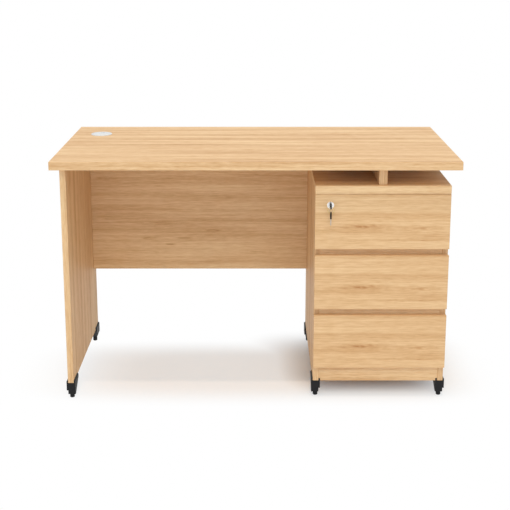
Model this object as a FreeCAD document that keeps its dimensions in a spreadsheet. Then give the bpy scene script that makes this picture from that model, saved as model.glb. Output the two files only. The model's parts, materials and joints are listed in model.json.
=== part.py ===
import FreeCAD, Part
import Sketcher
import math
import os
import re

# A panel-end office desk with a fixed three-drawer pedestal on the right.
# +X is to the right, +Y to the rear and +Z up.
# The origin is on the floor, under the middle of the desktop.

doc = FreeCAD.newDocument("pedestal_desk")
sheet = doc.addObject("Spreadsheet::Sheet", "Sizes")

# Driving dimensions in millimetres
SIZES = {
    # Whole desk
    "desk_width": 1200,
    "desk_depth": 600,
    "desk_height": 750,
    "desktop_thickness": 25,
    "board_thickness": 18,
    "edge_break": 0.8,
    "overrun": 2,
    # Uprights and modesty panel
    "side_overhang": 25,
    "front_setback": 30,
    "rear_setback": 54,
    "panel_lift": 53,
    "modesty_height": 450,
    "modesty_inset": 39,
    # Pedestal carcass
    "pedestal_width": 400,
    "pedestal_gap": 52,
    "pedestal_top_thickness": 25,
    "spacer_thickness": 25,
    "spacer_inset": 12,
    "rail_height": 50,
    "base_cover": 13,
    "back_thickness": 8,
    "back_inset": 12,
    # Drawer fronts
    "front_thickness": 18,
    "plinth_show": 50,
    "finger_gap": 20,
    "top_joint": 1,
    "front_clearance": 1.5,
    # Drawer boxes
    "box_side_thickness": 12,
    "box_rear_space": 28,
    "box_rise": 20,
    "box_bottom_thickness": 4,
    "groove_depth": 5,
    "groove_rise": 10,
    "groove_clearance": 0.2,
    # Telescopic runners
    "runner_width": 12.7,
    "runner_height": 45,
    "runner_sheet": 1.5,
    "runner_clearance": 0.3,
    "runner_shortfall": 10,
    "runner_rise": 40,
    "runner_setback": 3,
    # Cable outlet
    "outlet_inset_side": 91,
    "outlet_inset_rear": 146,
    "outlet_hole": 60,
    "outlet_flange_width": 4,
    "outlet_flange_height": 2.5,
    "outlet_flange_bevel": 1,
    "outlet_wall": 2,
    "outlet_depth": 22,
    "outlet_ledge": 2,
    "outlet_clearance": 0.2,
    "outlet_notch_width": 14,
    "outlet_notch_depth": 10,
    # Feet
    "cheek_thickness": 4.5,
    "cheek_rise": 8,
    "cheek_drop": 24,
    "cheek_bevel": 3,
    "seat_clearance": 0.3,
    "shoe_length": 62,
    "shoe_block": 30,
    "shoe_tip": 3,
    "gusset_foot": 8,
    "pad_height": 17,
    "pad_diameter": 14.5,
    "pad_bevel": 1.5,
    "pad_collar": 3,
    "stem_diameter": 8,
    "stem_length": 22,
    "stem_inset": 19,
    "running_clearance": 0.05,
    # Lock in the top drawer
    "lock_inset": 45,
    "lock_drop": 33,
    "cylinder_diameter": 19,
    "cylinder_flange_width": 1.25,
    "cylinder_flange_height": 2,
    "cylinder_flange_bevel": 0.8,
    "cylinder_clearance": 0.1,
    "plug_diameter": 12,
    "plug_end_thickness": 2,
    "lock_sheet": 1.5,
    "lock_ear": 7.5,
    "lock_wall": 2.2,
    "lock_case_room": 1.5,
    "lock_headroom": 3,
    "lock_case_shy": 0.5,
    "lock_clearance": 0.3,
    "bolt_margin": 1,
    "bolt_thickness": 5,
    "bolt_throw": 10,
    "pin_diameter": 3,
    "pin_play": 0.6,
    "pin_rim": 0.43,
    "strike_ear": 10,
    "strike_lip": 5.5,
    "strike_thickness": 1.5,
    "strike_play": 1,
    # Keys
    "bow_length": 21,
    "bow_width": 16,
    "bow_thickness": 4,
    "bow_round": 6,
    "bow_hole": 5,
    "bow_hole_inset": 5.5,
    "bow_socket": 8,
    "bow_rim": 2,
    "bow_recess": 0.4,
    "key_gap": 1,
    "blade_thickness": 2,
    "blade_height": 6.6,
    "blade_length": 20,
    "key_clearance": 0.1,
    "ring_clearance": 0.4,
    "ring_diameter": 19,
    "ring_wire": 1.4,
    # Cam fittings
    "cam_diameter": 15,
    "cam_depth": 13,
    "cam_setback": 34,
    "cam_inset": 60,
    "cam_bolt_diameter": 6,
    "cam_bolt_anchor": 11,
    "cam_bolt_relief": 2,
    "cam_clearance": 0.2,
}

# Places and sizes that follow from the driving dimensions
PLACES = {
    "under_top": "desk_height - desktop_thickness",
    "front_face": "front_setback - desk_depth / 2",
    "front_back": "front_face + front_thickness",
    "carcass_front": "front_back + front_clearance",
    "rear_edge": "desk_depth / 2 - rear_setback",
    "carcass_depth": "rear_edge - carcass_front",
    "leg_outer": "side_overhang - desk_width / 2",
    "leg_inner": "leg_outer + board_thickness",
    "pedestal_right": "desk_width / 2 - side_overhang",
    "pedestal_left": "pedestal_right - pedestal_width",
    "pedestal_middle": "pedestal_right - pedestal_width / 2",
    "inner_left": "pedestal_left + board_thickness",
    "inner_width": "pedestal_width - 2 * board_thickness",
    "pedestal_top_underside": "under_top - pedestal_gap - pedestal_top_thickness",
    "fronts_top": "pedestal_top_underside - top_joint",
    "front_height": "(fronts_top - panel_lift - plinth_show - 2 * finger_gap) / 3",
    "front_1": "fronts_top - front_height",
    "front_2": "front_1 - finger_gap - front_height",
    "front_3": "front_2 - finger_gap - front_height",
    "base_top": "front_3 + base_cover",
    "modesty_rear": "rear_edge - modesty_inset",
    "modesty_front": "modesty_rear - board_thickness",
    "modesty_bottom": "under_top - modesty_height",
    "modesty_width": "pedestal_left - leg_inner",
    "box_left": "inner_left + runner_width",
    "box_width": "inner_width - 2 * runner_width",
    "box_inner_left": "box_left + box_side_thickness",
    "box_inner_width": "box_width - 2 * box_side_thickness",
    "box_end": "rear_edge - back_inset - back_thickness - box_rear_space",
    "box_length": "box_end - front_back",
    "box_height": "front_height - box_rise - lock_drop - lock_case_drop - lock_headroom",
    "runner_length": "box_length - runner_shortfall",
    "runner_front": "carcass_front + runner_setback",
    "outlet_x": "outlet_inset_side - desk_width / 2",
    "outlet_y": "desk_depth / 2 - outlet_inset_rear",
    "flange_radius": "outlet_hole / 2 + outlet_flange_width",
    "sleeve_outer": "outlet_hole / 2 - outlet_clearance",
    "sleeve_inner": "sleeve_outer - outlet_wall",
    "cap_radius": "sleeve_inner - outlet_clearance",
    "ledge_radius": "sleeve_inner - outlet_ledge",
    "shoe_depth": "panel_lift - pad_height",
    "stem_radius": "stem_diameter / 2",
    "pad_radius": "pad_diameter / 2",
    "lock_x": "pedestal_left + lock_inset",
    "lock_z": "fronts_top - lock_drop",
    "cylinder_radius": "cylinder_diameter / 2",
    "cylinder_flange_radius": "cylinder_radius + cylinder_flange_width",
    "plug_end_radius": "bolt_throw / sqrt(2) + pin_diameter / 2 + pin_rim",
    "bolt_width": "2 * plug_end_radius + 2 * bolt_margin",
    "lock_case_width": "bolt_width + 2 * lock_clearance + 2 * lock_wall",
    "lock_ear_width": "lock_case_width + 2 * lock_ear",
    "lock_case_drop": "plug_end_radius + lock_case_room + lock_sheet",
    "strike_width": "bolt_width + 2 * strike_ear",
    "strike_depth": "bolt_thickness + 2 * strike_lip",
    "case_top": "lock_drop - lock_case_shy",
    "bolt_front": "front_back + lock_sheet + plug_end_thickness + 2 * lock_clearance",
    "case_depth": "2 * lock_sheet + plug_end_thickness + bolt_thickness + 3 * lock_clearance",
    "plug_front": "front_face - cylinder_flange_height",
    "plug_shank": "cylinder_flange_height + front_thickness + lock_sheet + lock_clearance",
    "bow_end": "plug_front - key_gap",
    "hole_y": "bow_end - bow_length + bow_hole_inset",
    "ring_top": "lock_z - bow_hole / 2 + ring_wire / 2 + ring_clearance",
    "ring_z": "ring_top - ring_diameter / 2",
    "ring_bottom": "ring_z - ring_diameter / 2",
    "spare_hole_z": "ring_bottom - bow_hole / 2 + ring_wire / 2 + ring_clearance",
    "spare_bow_end": "spare_hole_z - bow_length + bow_hole_inset",
    "cam_radius": "cam_diameter / 2",
}

DRAWERS = (1, 2, 3)
# Where the cam fittings sit: across the modesty panel, and up from its bottom edge
MODESTY_SHARES = ("0.25", "0.75")
CAM_HEIGHTS = (
    "cam_inset",
    "modesty_height - pedestal_gap - pedestal_top_thickness - cam_inset",
)
# Cuts in a key blade's upper edge, from the tip: how far along the blade, and how deep in it
BIT_SHARES = (("0.74", "0.22"), ("0.6", "0.34"), ("0.46", "0.16"), ("0.32", "0.28"))
CUT_SHARE = "0.055"
# An edge counts as running along an axis when its direction has this share of it
ALONG_SHARE = 0.9
WORD = re.compile(r"[a-z]+_[a-z0-9_]+|overrun")
UPWARDS = FreeCAD.Rotation()
ALONG_X = FreeCAD.Rotation(FreeCAD.Vector(0, 1, 0), 90)
ALONG_Y = FreeCAD.Rotation(FreeCAD.Vector(1, 0, 0), -90)
HANGING = FreeCAD.Rotation(FreeCAD.Vector(1, 0, 0), -90)
TURNED_ROUND = FreeCAD.Rotation(FreeCAD.Vector(0, 0, 1), 180)

for row, (alias, value) in enumerate(SIZES.items(), start=1):
    sheet.set("A" + str(row), alias)
    sheet.set("B" + str(row), str(value))
    sheet.setAlias("B" + str(row), alias)
doc.recompute()

nodes = []
pockets = []


# Binding shapes to the sheet

def formula(text):
    """Spell a size or a place out in cells of the sheet."""

    def spell(match):
        word = match.group(0)
        if word in PLACES:
            return "(" + formula(PLACES[word]) + ")"
        return "Sizes." + word

    return WORD.sub(spell, text)


def bind(thing, **sizes):
    for name, text in sizes.items():
        thing.setExpression(name, formula(text))


def place(thing, x, y, z, turn=UPWARDS):
    thing.Placement = FreeCAD.Placement(FreeCAD.Vector(), turn)
    for axis, text in zip("xyz", (x, y, z)):
        thing.setExpression("Placement.Base." + axis, formula(text))


def node(thing, label):
    thing.Label = label
    nodes.append(thing)
    return thing


# Sketches and features of a body

def new_body(name):
    return doc.addObject("PartDesign::Body", name)


def new_sketch(body, role, offset="0"):
    """A sketch parallel to an origin plane, moved along that plane's axis."""
    sketch = body.newObject("Sketcher::SketchObject", body.Name + "_sketch")
    plane = next(f for f in body.Origin.OriginFeatures if f.Role == role)
    sketch.AttachmentSupport = [(plane, "")]
    sketch.MapMode = "FlatFace"
    sign = "-" if role == "XZ_Plane" else ""
    sketch.setExpression("AttachmentOffset.Base.z", formula(sign + "(" + offset + ")"))
    return sketch


def fix_point(sketch, geometry, position, x, y):
    for kind, text in (("DistanceX", x), ("DistanceY", y)):
        index = sketch.addConstraint(Sketcher.Constraint(kind, -1, 1, geometry, position, 1.0))
        sketch.setExpression("Constraints[" + str(index) + "]", formula(text))


def outline(sketch, points):
    """A closed outline through points whose places are bound to the sheet."""
    count = len(points)
    ring = [2 * math.pi * step / count for step in range(count)]
    starts = [FreeCAD.Vector(math.cos(angle), math.sin(angle), 0) for angle in ring]
    lines = []
    for step in range(count):
        segment = Part.LineSegment(starts[step], starts[(step + 1) % count])
        lines.append(sketch.addGeometry(segment))
    for step in range(count):
        following = lines[(step + 1) % count]
        sketch.addConstraint(Sketcher.Constraint("Coincident", lines[step], 2, following, 1))
    for line, (x, y) in zip(lines, points):
        fix_point(sketch, line, 1, x, y)


def rectangle(sketch, x, y, width, height):
    far_x = x + " + " + width
    far_y = y + " + " + height
    outline(sketch, [(x, y), (far_x, y), (far_x, far_y), (x, far_y)])


def circle(sketch, x, y, radius):
    centre = FreeCAD.Vector(1, 1, 0)
    ring = sketch.addGeometry(Part.Circle(centre, FreeCAD.Vector(0, 0, 1), 1))
    fix_point(sketch, ring, 3, x, y)
    index = sketch.addConstraint(Sketcher.Constraint("Radius", ring, 1.0))
    sketch.setExpression("Constraints[" + str(index) + "]", formula(radius))


def pad(body, sketch, length):
    """Add material along the positive axis."""
    feature = body.newObject("PartDesign::Pad", body.Name + "_pad")
    feature.Profile = sketch
    feature.Reversed = sketch.AttachmentSupport[0][0].Role == "XZ_Plane"
    bind(feature, Length=length)
    return feature


def pocket(body, sketch, length):
    """Cut along the positive axis."""
    feature = body.newObject("PartDesign::Pocket", body.Name + "_pocket")
    feature.Profile = sketch
    feature.Reversed = sketch.AttachmentSupport[0][0].Role != "XZ_Plane"
    bind(feature, Length=length)
    pockets.append(feature)
    return feature


def revolve(body, sketch):
    feature = body.newObject("PartDesign::Revolution", body.Name + "_turning")
    feature.Profile = sketch
    feature.ReferenceAxis = (sketch, ["V_Axis"])
    return feature


# Boards, rods and groups

def board_body(name, corner, size):
    """An edge-banded board: a padded rectangle with its edges eased."""
    body = new_body(name)
    sketch = new_sketch(body, "XY_Plane")
    rectangle(sketch, "0", "0", size[0], size[1])
    blank = pad(body, sketch, size[2])
    doc.recompute()
    easing = body.newObject("PartDesign::Chamfer", name + "_easing")
    easing.Base = (blank, ["Edge1"])
    easing.UseAllEdges = True
    bind(easing, Size="edge_break")
    place(body, *corner)
    return body


def board(name, corner, size):
    return node(board_body(name, corner, size), name)


def block(name, corner, size):
    box = doc.addObject("Part::Box", name)
    bind(box, Length=size[0], Width=size[1], Height=size[2])
    place(box, *corner)
    return box


def rod(name, start, turn, radius, length):
    cylinder = doc.addObject("Part::Cylinder", name)
    bind(cylinder, Radius=radius, Height=length)
    place(cylinder, *start, turn)
    return cylinder


def cut(name, base, tool):
    result = doc.addObject("Part::Cut", name)
    result.Base = base
    result.Tool = tool
    return result


def mirrored(thing):
    """The same piece on the other side of the pedestal."""
    twin = doc.addObject("Part::Mirroring", thing.Name + "_twin")
    twin.Source = thing
    twin.Normal = FreeCAD.Vector(1, 0, 0)
    twin.setExpression("Base.x", formula("pedestal_middle"))
    return twin


def group(name, pieces):
    gathered = doc.addObject("Part::Compound", name)
    gathered.Links = pieces
    return node(gathered, name)


# Desktop and its cable outlet

def make_desktop():
    body = board(
        "desktop",
        ("-desk_width / 2", "-desk_depth / 2", "under_top"),
        ("desk_width", "desk_depth", "desktop_thickness"),
    )
    hole = new_sketch(body, "XY_Plane")
    circle(hole, "outlet_inset_side", "desk_depth - outlet_inset_rear", "outlet_hole / 2")
    pocket(body, hole, "desktop_thickness")
    for share in MODESTY_SHARES:
        anchor = new_sketch(body, "XY_Plane")
        across = "desk_width / 2 + leg_inner + modesty_width * " + share
        along = "desk_depth / 2 + modesty_rear - board_thickness / 2"
        circle(anchor, across, along, "cam_bolt_diameter / 2 + running_clearance")
        pocket(body, anchor, "cam_bolt_anchor")


def make_outlet():
    sleeve = new_body("outlet_sleeve")
    outline(
        new_sketch(sleeve, "XZ_Plane"),
        [
            ("sleeve_inner", "-outlet_depth"),
            ("sleeve_outer", "-outlet_depth"),
            ("sleeve_outer", "0"),
            ("flange_radius", "0"),
            ("flange_radius", "outlet_flange_height - outlet_flange_bevel"),
            ("flange_radius - outlet_flange_bevel", "outlet_flange_height"),
            ("sleeve_inner", "outlet_flange_height"),
            ("sleeve_inner", "0"),
            ("ledge_radius", "0"),
            ("ledge_radius", "-outlet_ledge"),
            ("sleeve_inner", "-2 * outlet_ledge"),
        ],
    )
    revolve(sleeve, sleeve.Group[-1])
    place(sleeve, "outlet_x", "outlet_y", "desk_height")
    node(sleeve, "outlet_sleeve")

    cap = new_body("outlet_cap")
    outline(
        new_sketch(cap, "XZ_Plane"),
        [
            ("0", "0"),
            ("cap_radius", "0"),
            ("cap_radius", "outlet_flange_height - outlet_flange_bevel"),
            ("cap_radius - outlet_flange_bevel", "outlet_flange_height"),
            ("0", "outlet_flange_height"),
        ],
    )
    revolve(cap, cap.Group[-1])
    notch = new_sketch(cap, "XY_Plane")
    rectangle(
        notch,
        "-outlet_notch_width / 2",
        "cap_radius - outlet_notch_depth",
        "outlet_notch_width",
        "outlet_notch_depth + overrun",
    )
    pocket(cap, notch, "outlet_flange_height")
    place(cap, "outlet_x", "outlet_y", "desk_height")
    node(cap, "outlet_cap")


# Leg panel, modesty panel and the cam fittings that join them

def make_leg_panel():
    body = board(
        "leg_panel",
        ("leg_outer", "front_face", "panel_lift"),
        ("board_thickness", "rear_edge - front_face", "under_top - panel_lift"),
    )
    anchors = new_sketch(body, "YZ_Plane", "board_thickness - cam_bolt_anchor")
    for height in CAM_HEIGHTS:
        circle(
            anchors,
            "modesty_rear - board_thickness / 2 - front_face",
            "modesty_bottom - panel_lift + " + height,
            "cam_bolt_diameter / 2 + running_clearance",
        )
    pocket(body, anchors, "cam_bolt_anchor")


def make_modesty_panel():
    body = board(
        "modesty_panel",
        ("leg_inner", "modesty_front", "modesty_bottom"),
        ("modesty_width", "board_thickness", "modesty_height"),
    )
    cams = new_sketch(body, "XZ_Plane", "board_thickness - cam_depth")
    for height in CAM_HEIGHTS:
        circle(cams, "cam_setback", height, "cam_radius")
        circle(cams, "modesty_width - cam_setback", height, "cam_radius")
    for share in MODESTY_SHARES:
        circle(cams, "modesty_width * " + share, "modesty_height - cam_setback", "cam_radius")
    pocket(body, cams, "cam_depth")
    bore = "cam_bolt_diameter / 2 + cam_clearance"
    for start in ("0", "modesty_width - cam_setback"):
        ends = new_sketch(body, "YZ_Plane", start)
        for height in CAM_HEIGHTS:
            circle(ends, "board_thickness / 2", height, bore)
        pocket(body, ends, "cam_setback")
    tops = new_sketch(body, "XY_Plane", "modesty_height - cam_setback")
    for share in MODESTY_SHARES:
        circle(tops, "modesty_width * " + share, "board_thickness / 2", bore)
    pocket(body, tops, "cam_setback")


def make_cam(name, x, z, bore_turn, bore_start):
    """A cam disc in the rear face of the modesty panel, bored for its bolt."""
    disc = rod(
        name + "_disc",
        (x, "modesty_rear - cam_depth", z),
        ALONG_Y,
        "cam_radius - cam_clearance",
        "cam_depth",
    )
    bore = rod(
        name + "_bore",
        bore_start,
        bore_turn,
        "cam_bolt_diameter / 2 + cam_clearance",
        "cam_diameter",
    )
    return cut(name + "_cam", disc, bore)


def make_cam_fittings():
    middle = "modesty_rear - board_thickness / 2"
    pieces = []
    for number, height in enumerate(CAM_HEIGHTS, start=1):
        z = "modesty_bottom + " + height
        left = "leg_inner + cam_setback"
        right = "pedestal_left - cam_setback"
        name = "fitting_left_" + str(number)
        pieces.append(make_cam(name, left, z, ALONG_X, (left + " - cam_diameter", middle, z)))
        pieces.append(
            rod(
                name + "_bolt",
                ("leg_inner - cam_bolt_anchor", middle, z),
                ALONG_X,
                "cam_bolt_diameter / 2",
                "cam_bolt_anchor + cam_setback - cam_bolt_relief",
            )
        )
        name = "fitting_right_" + str(number)
        pieces.append(make_cam(name, right, z, ALONG_X, (right, middle, z)))
        pieces.append(
            rod(
                name + "_bolt",
                (right + " + cam_bolt_relief", middle, z),
                ALONG_X,
                "cam_bolt_diameter / 2",
                "cam_bolt_anchor + cam_setback - cam_bolt_relief",
            )
        )
    for number, share in enumerate(MODESTY_SHARES, start=1):
        x = "leg_inner + modesty_width * " + share
        z = "under_top - cam_setback"
        name = "fitting_top_" + str(number)
        pieces.append(make_cam(name, x, z, UPWARDS, (x, middle, z)))
        pieces.append(
            rod(
                name + "_bolt",
                (x, middle, z + " + cam_bolt_relief"),
                UPWARDS,
                "cam_bolt_diameter / 2",
                "cam_bolt_anchor + cam_setback - cam_bolt_relief",
            )
        )
    group("cam_fittings", pieces)


# Pedestal carcass

def make_carcass():
    side_size = (
        "board_thickness",
        "carcass_depth",
        "pedestal_top_underside - panel_lift",
    )
    left = board("pedestal_side_left", ("pedestal_left", "carcass_front", "panel_lift"), side_size)
    anchors = new_sketch(left, "YZ_Plane")
    for height in CAM_HEIGHTS:
        circle(
            anchors,
            "modesty_rear - board_thickness / 2 - carcass_front",
            "modesty_bottom - panel_lift + " + height,
            "cam_bolt_diameter / 2 + running_clearance",
        )
    pocket(left, anchors, "cam_bolt_anchor")
    board(
        "pedestal_side_right",
        ("pedestal_right - board_thickness", "carcass_front", "panel_lift"),
        side_size,
    )
    plinth = board(
        "plinth",
        ("inner_left", "carcass_front", "panel_lift"),
        ("inner_width", "board_thickness", "base_top - panel_lift"),
    )
    notch_width = "cheek_thickness + seat_clearance + overrun"
    notch_height = "cheek_rise + seat_clearance + overrun"
    notches = new_sketch(plinth, "XZ_Plane")
    rectangle(notches, "-overrun", "-overrun", notch_width, notch_height)
    far_notch = "inner_width - cheek_thickness - seat_clearance"
    rectangle(notches, far_notch, "-overrun", notch_width, notch_height)
    pocket(plinth, notches, "board_thickness")
    board(
        "pedestal_bottom",
        ("inner_left", "carcass_front + board_thickness", "base_top - board_thickness"),
        ("inner_width", "carcass_depth - board_thickness", "board_thickness"),
    )
    board(
        "pedestal_back",
        ("inner_left", "rear_edge - back_inset - back_thickness", "base_top"),
        ("inner_width", "back_thickness", "pedestal_top_underside - base_top"),
    )
    for name, above in (("rail_upper", "front_1"), ("rail_lower", "front_2")):
        board(
            name,
            ("inner_left", "carcass_front", above + " - finger_gap / 2 - rail_height / 2"),
            ("inner_width", "board_thickness", "rail_height"),
        )
    board(
        "spacer_board",
        (
            "pedestal_middle - spacer_thickness / 2",
            "front_face + spacer_inset",
            "under_top - pedestal_gap",
        ),
        ("spacer_thickness", "rear_edge - front_face - 2 * spacer_inset", "pedestal_gap"),
    )


def make_pedestal_top():
    body = board(
        "pedestal_top",
        ("pedestal_left", "front_face", "pedestal_top_underside"),
        ("pedestal_width", "rear_edge - front_face", "pedestal_top_thickness"),
    )
    middle = "bolt_front + bolt_thickness / 2 - front_face"
    recess = new_sketch(body, "XY_Plane")
    rectangle(
        recess,
        "lock_inset - strike_width / 2 - cylinder_clearance",
        middle + " - strike_depth / 2 - cylinder_clearance",
        "strike_width + 2 * cylinder_clearance",
        "strike_depth + 2 * cylinder_clearance",
    )
    pocket(body, recess, "strike_thickness")
    mortise = new_sketch(body, "XY_Plane", "strike_thickness")
    rectangle(
        mortise,
        "lock_inset - bolt_width / 2 - strike_play",
        middle + " - bolt_thickness / 2 - strike_play",
        "bolt_width + 2 * strike_play",
        "bolt_thickness + 2 * strike_play",
    )
    pocket(body, mortise, "bolt_throw")


# Feet: a moulded shoe that straddles a panel's bottom corner, and a levelling pad

def make_shoe(name, x, y, turn, gusset_on_right):
    """A channel over the panel's edge, a block for the stem and a gusset down one side of the block."""
    body = new_body(name)
    section = new_sketch(body, "XZ_Plane")
    right = "board_thickness"
    if gusset_on_right:
        left_drop, right_drop = "cheek_drop", "shoe_tip"
        gusset_start = right
    else:
        left_drop, right_drop = "shoe_tip", "cheek_drop"
        gusset_start = "-cheek_thickness"
    outline(
        section,
        [
            ("0", "-shoe_depth"),
            ("0", "-" + left_drop),
            ("-cheek_thickness", "-" + left_drop),
            ("-cheek_thickness", "cheek_rise - cheek_bevel"),
            ("cheek_bevel - cheek_thickness", "cheek_rise"),
            ("0", "cheek_rise"),
            ("0", "0"),
            (right, "0"),
            (right, "cheek_rise"),
            (right + " + cheek_thickness - cheek_bevel", "cheek_rise"),
            (right + " + cheek_thickness", "cheek_rise - cheek_bevel"),
            (right + " + cheek_thickness", "-" + right_drop),
            (right, "-" + right_drop),
            (right, "-shoe_depth"),
        ],
    )
    pad(body, section, "shoe_length")
    slope = new_sketch(body, "YZ_Plane", "-cheek_thickness - overrun")
    outline(
        slope,
        [
            ("shoe_block", "-shoe_depth - overrun"),
            ("shoe_block", "-shoe_depth"),
            ("shoe_length + overrun", "-shoe_tip"),
            ("shoe_length + overrun", "-shoe_depth - overrun"),
        ],
    )
    pocket(body, slope, "board_thickness + 2 * cheek_thickness + 2 * overrun")
    gusset = new_sketch(body, "YZ_Plane", gusset_start)
    outline(
        gusset,
        [
            ("0", "-shoe_depth"),
            ("gusset_foot", "-shoe_depth"),
            ("shoe_length", "-shoe_tip"),
            ("0", "-shoe_tip"),
        ],
    )
    pad(body, gusset, "cheek_thickness")
    stem = new_sketch(body, "XY_Plane", "-shoe_depth")
    circle(stem, "board_thickness / 2", "stem_inset", "stem_radius + running_clearance")
    pocket(body, stem, "stem_length + overrun")
    place(body, x, y, "panel_lift", turn)
    node(body, name)


def make_pad(name, x, y):
    body = new_body(name)
    profile = new_sketch(body, "XZ_Plane")
    outline(
        profile,
        [
            ("0", "0"),
            ("pad_radius - pad_bevel", "0"),
            ("pad_radius", "pad_bevel"),
            ("pad_radius", "pad_height - pad_collar"),
            ("stem_radius + pad_bevel", "pad_height"),
            ("stem_radius", "pad_height"),
            ("stem_radius", "pad_height + stem_length"),
            ("0", "pad_height + stem_length"),
        ],
    )
    revolve(body, profile)
    place(body, x, y, "0")
    node(body, name)


def make_feet():
    uprights = (
        ("leg", "leg_outer", "front_face", True),
        ("pedestal_left", "pedestal_left", "carcass_front", False),
        ("pedestal_right", "pedestal_right - board_thickness", "carcass_front", False),
    )
    for upright, x, front, gusset_on_right in uprights:
        middle = x + " + board_thickness / 2"
        far_side = x + " + board_thickness"
        make_shoe("foot_shoe_" + upright + "_front", x, front, UPWARDS, gusset_on_right)
        make_shoe(
            "foot_shoe_" + upright + "_rear", far_side, "rear_edge", TURNED_ROUND, gusset_on_right
        )
        make_pad("foot_pad_" + upright + "_front", middle, front + " + stem_inset")
        make_pad("foot_pad_" + upright + "_rear", middle, "rear_edge - stem_inset")


# Telescopic runners

def make_channel(name, web, wall, lip, half_height, length, x, y, z):
    """A rolled channel whose web stands upright, with two flanges that end at the lip."""
    body = new_body(name)
    section = new_sketch(body, "XZ_Plane")
    low = "-(" + half_height + ")"
    outline(
        section,
        [
            (web, low),
            (lip, low),
            (lip, low + " + runner_sheet"),
            (wall, low + " + runner_sheet"),
            (wall, half_height + " - runner_sheet"),
            (lip, half_height + " - runner_sheet"),
            (lip, half_height),
            (web, half_height),
        ],
    )
    pad(body, section, length)
    place(body, x, y, z)
    return body


def make_runners(number):
    z = "front_" + str(number) + " + box_rise + runner_rise"
    nest = "runner_sheet + runner_clearance"
    members = (
        ("cabinet", "0", "runner_sheet", "runner_height / 2"),
        ("middle", nest, nest + " + runner_sheet", "runner_height / 2 - " + nest.replace("+", "-")),
    )
    lip = "runner_width - 2 * runner_clearance"
    for member, web, wall, half_height in members:
        name = "runner_" + member + "_" + str(number)
        left = make_channel(
            name + "_left", web, wall, lip, half_height, "runner_length",
            "inner_left", "runner_front", z,
        )
        group(name, [left, mirrored(left)])
    name = "runner_drawer_" + str(number)
    left = make_channel(
        name + "_left",
        "runner_width",
        "runner_width - runner_sheet",
        "2 * runner_sheet + 2 * runner_clearance",
        "runner_height / 2 - 2 * runner_sheet - 2 * runner_clearance",
        "runner_length",
        "inner_left",
        "runner_front",
        z,
    )
    group(name, [left, mirrored(left)])


# Drawers

def make_drawer(number):
    tag = "_" + str(number)
    bottom_edge = "front" + tag
    floor = bottom_edge + " + box_rise"
    front = board(
        "drawer_front" + tag,
        ("pedestal_left", "front_face", bottom_edge),
        ("pedestal_width", "front_thickness", "front_height"),
    )
    if number == DRAWERS[0]:
        bore = new_sketch(front, "XZ_Plane")
        circle(
            bore,
            "lock_inset",
            "front_height - lock_drop",
            "cylinder_radius + cylinder_clearance",
        )
        pocket(front, bore, "front_thickness")
    side = block(
        "drawer_side_blank" + tag,
        ("box_left", "front_back", floor),
        ("box_side_thickness", "box_length", "box_height"),
    )
    groove = block(
        "drawer_groove" + tag,
        (
            "box_inner_left - groove_depth",
            "front_back - overrun",
            floor + " + groove_rise - groove_clearance",
        ),
        (
            "groove_depth + overrun",
            "box_length + 2 * overrun",
            "box_bottom_thickness + 2 * groove_clearance",
        ),
    )
    left = cut("drawer_side_left" + tag, side, groove)
    group("drawer_sides" + tag, [left, mirrored(left)])
    bottom = block(
        "drawer_bottom" + tag,
        (
            "box_inner_left - groove_depth + groove_clearance",
            "front_back",
            floor + " + groove_rise",
        ),
        (
            "box_inner_width + 2 * groove_depth - 2 * groove_clearance",
            "box_length",
            "box_bottom_thickness",
        ),
    )
    node(bottom, "drawer_bottom" + tag)
    back = block(
        "drawer_back" + tag,
        (
            "box_inner_left",
            "front_back + box_length - box_side_thickness",
            floor + " + groove_rise + box_bottom_thickness",
        ),
        (
            "box_inner_width",
            "box_side_thickness",
            "box_height - groove_rise - box_bottom_thickness",
        ),
    )
    node(back, "drawer_back" + tag)


# Lock: the key turns the plug, and the plug's pin lifts the bolt into the pedestal top

def make_lock_cylinder():
    body = new_body("lock_cylinder")
    profile = new_sketch(body, "XY_Plane")
    bore = "plug_diameter / 2 + running_clearance"
    outline(
        profile,
        [
            (bore, "0"),
            ("cylinder_flange_radius - cylinder_flange_bevel", "0"),
            ("cylinder_flange_radius", "cylinder_flange_bevel"),
            ("cylinder_flange_radius", "cylinder_flange_height"),
            ("cylinder_radius", "cylinder_flange_height"),
            ("cylinder_radius", "cylinder_flange_height + front_thickness"),
            (bore, "cylinder_flange_height + front_thickness"),
        ],
    )
    revolve(body, profile)
    place(body, "lock_x", "plug_front", "lock_z")
    node(body, "lock_cylinder")


def make_lock_plug():
    body = new_body("lock_plug")
    profile = new_sketch(body, "XY_Plane")
    outline(
        profile,
        [
            ("0", "0"),
            ("plug_diameter / 2", "0"),
            ("plug_diameter / 2", "plug_shank"),
            ("plug_end_radius", "plug_shank"),
            ("plug_end_radius", "plug_shank + plug_end_thickness"),
            ("0", "plug_shank + plug_end_thickness"),
        ],
    )
    revolve(body, profile)
    pin = new_sketch(body, "XZ_Plane", "plug_shank + plug_end_thickness")
    circle(pin, "-bolt_throw / 2", "-bolt_throw / 2", "pin_diameter / 2")
    pad(body, pin, "bolt_thickness + lock_clearance")
    keyway = new_sketch(body, "XZ_Plane")
    rectangle(
        keyway,
        "-blade_thickness / 2 - key_clearance",
        "-blade_height / 2 - key_clearance",
        "blade_thickness + 2 * key_clearance",
        "blade_height + 2 * key_clearance",
    )
    pocket(body, keyway, "blade_length - key_gap + key_clearance")
    place(body, "lock_x", "plug_front", "lock_z")
    node(body, "lock_plug")


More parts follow.
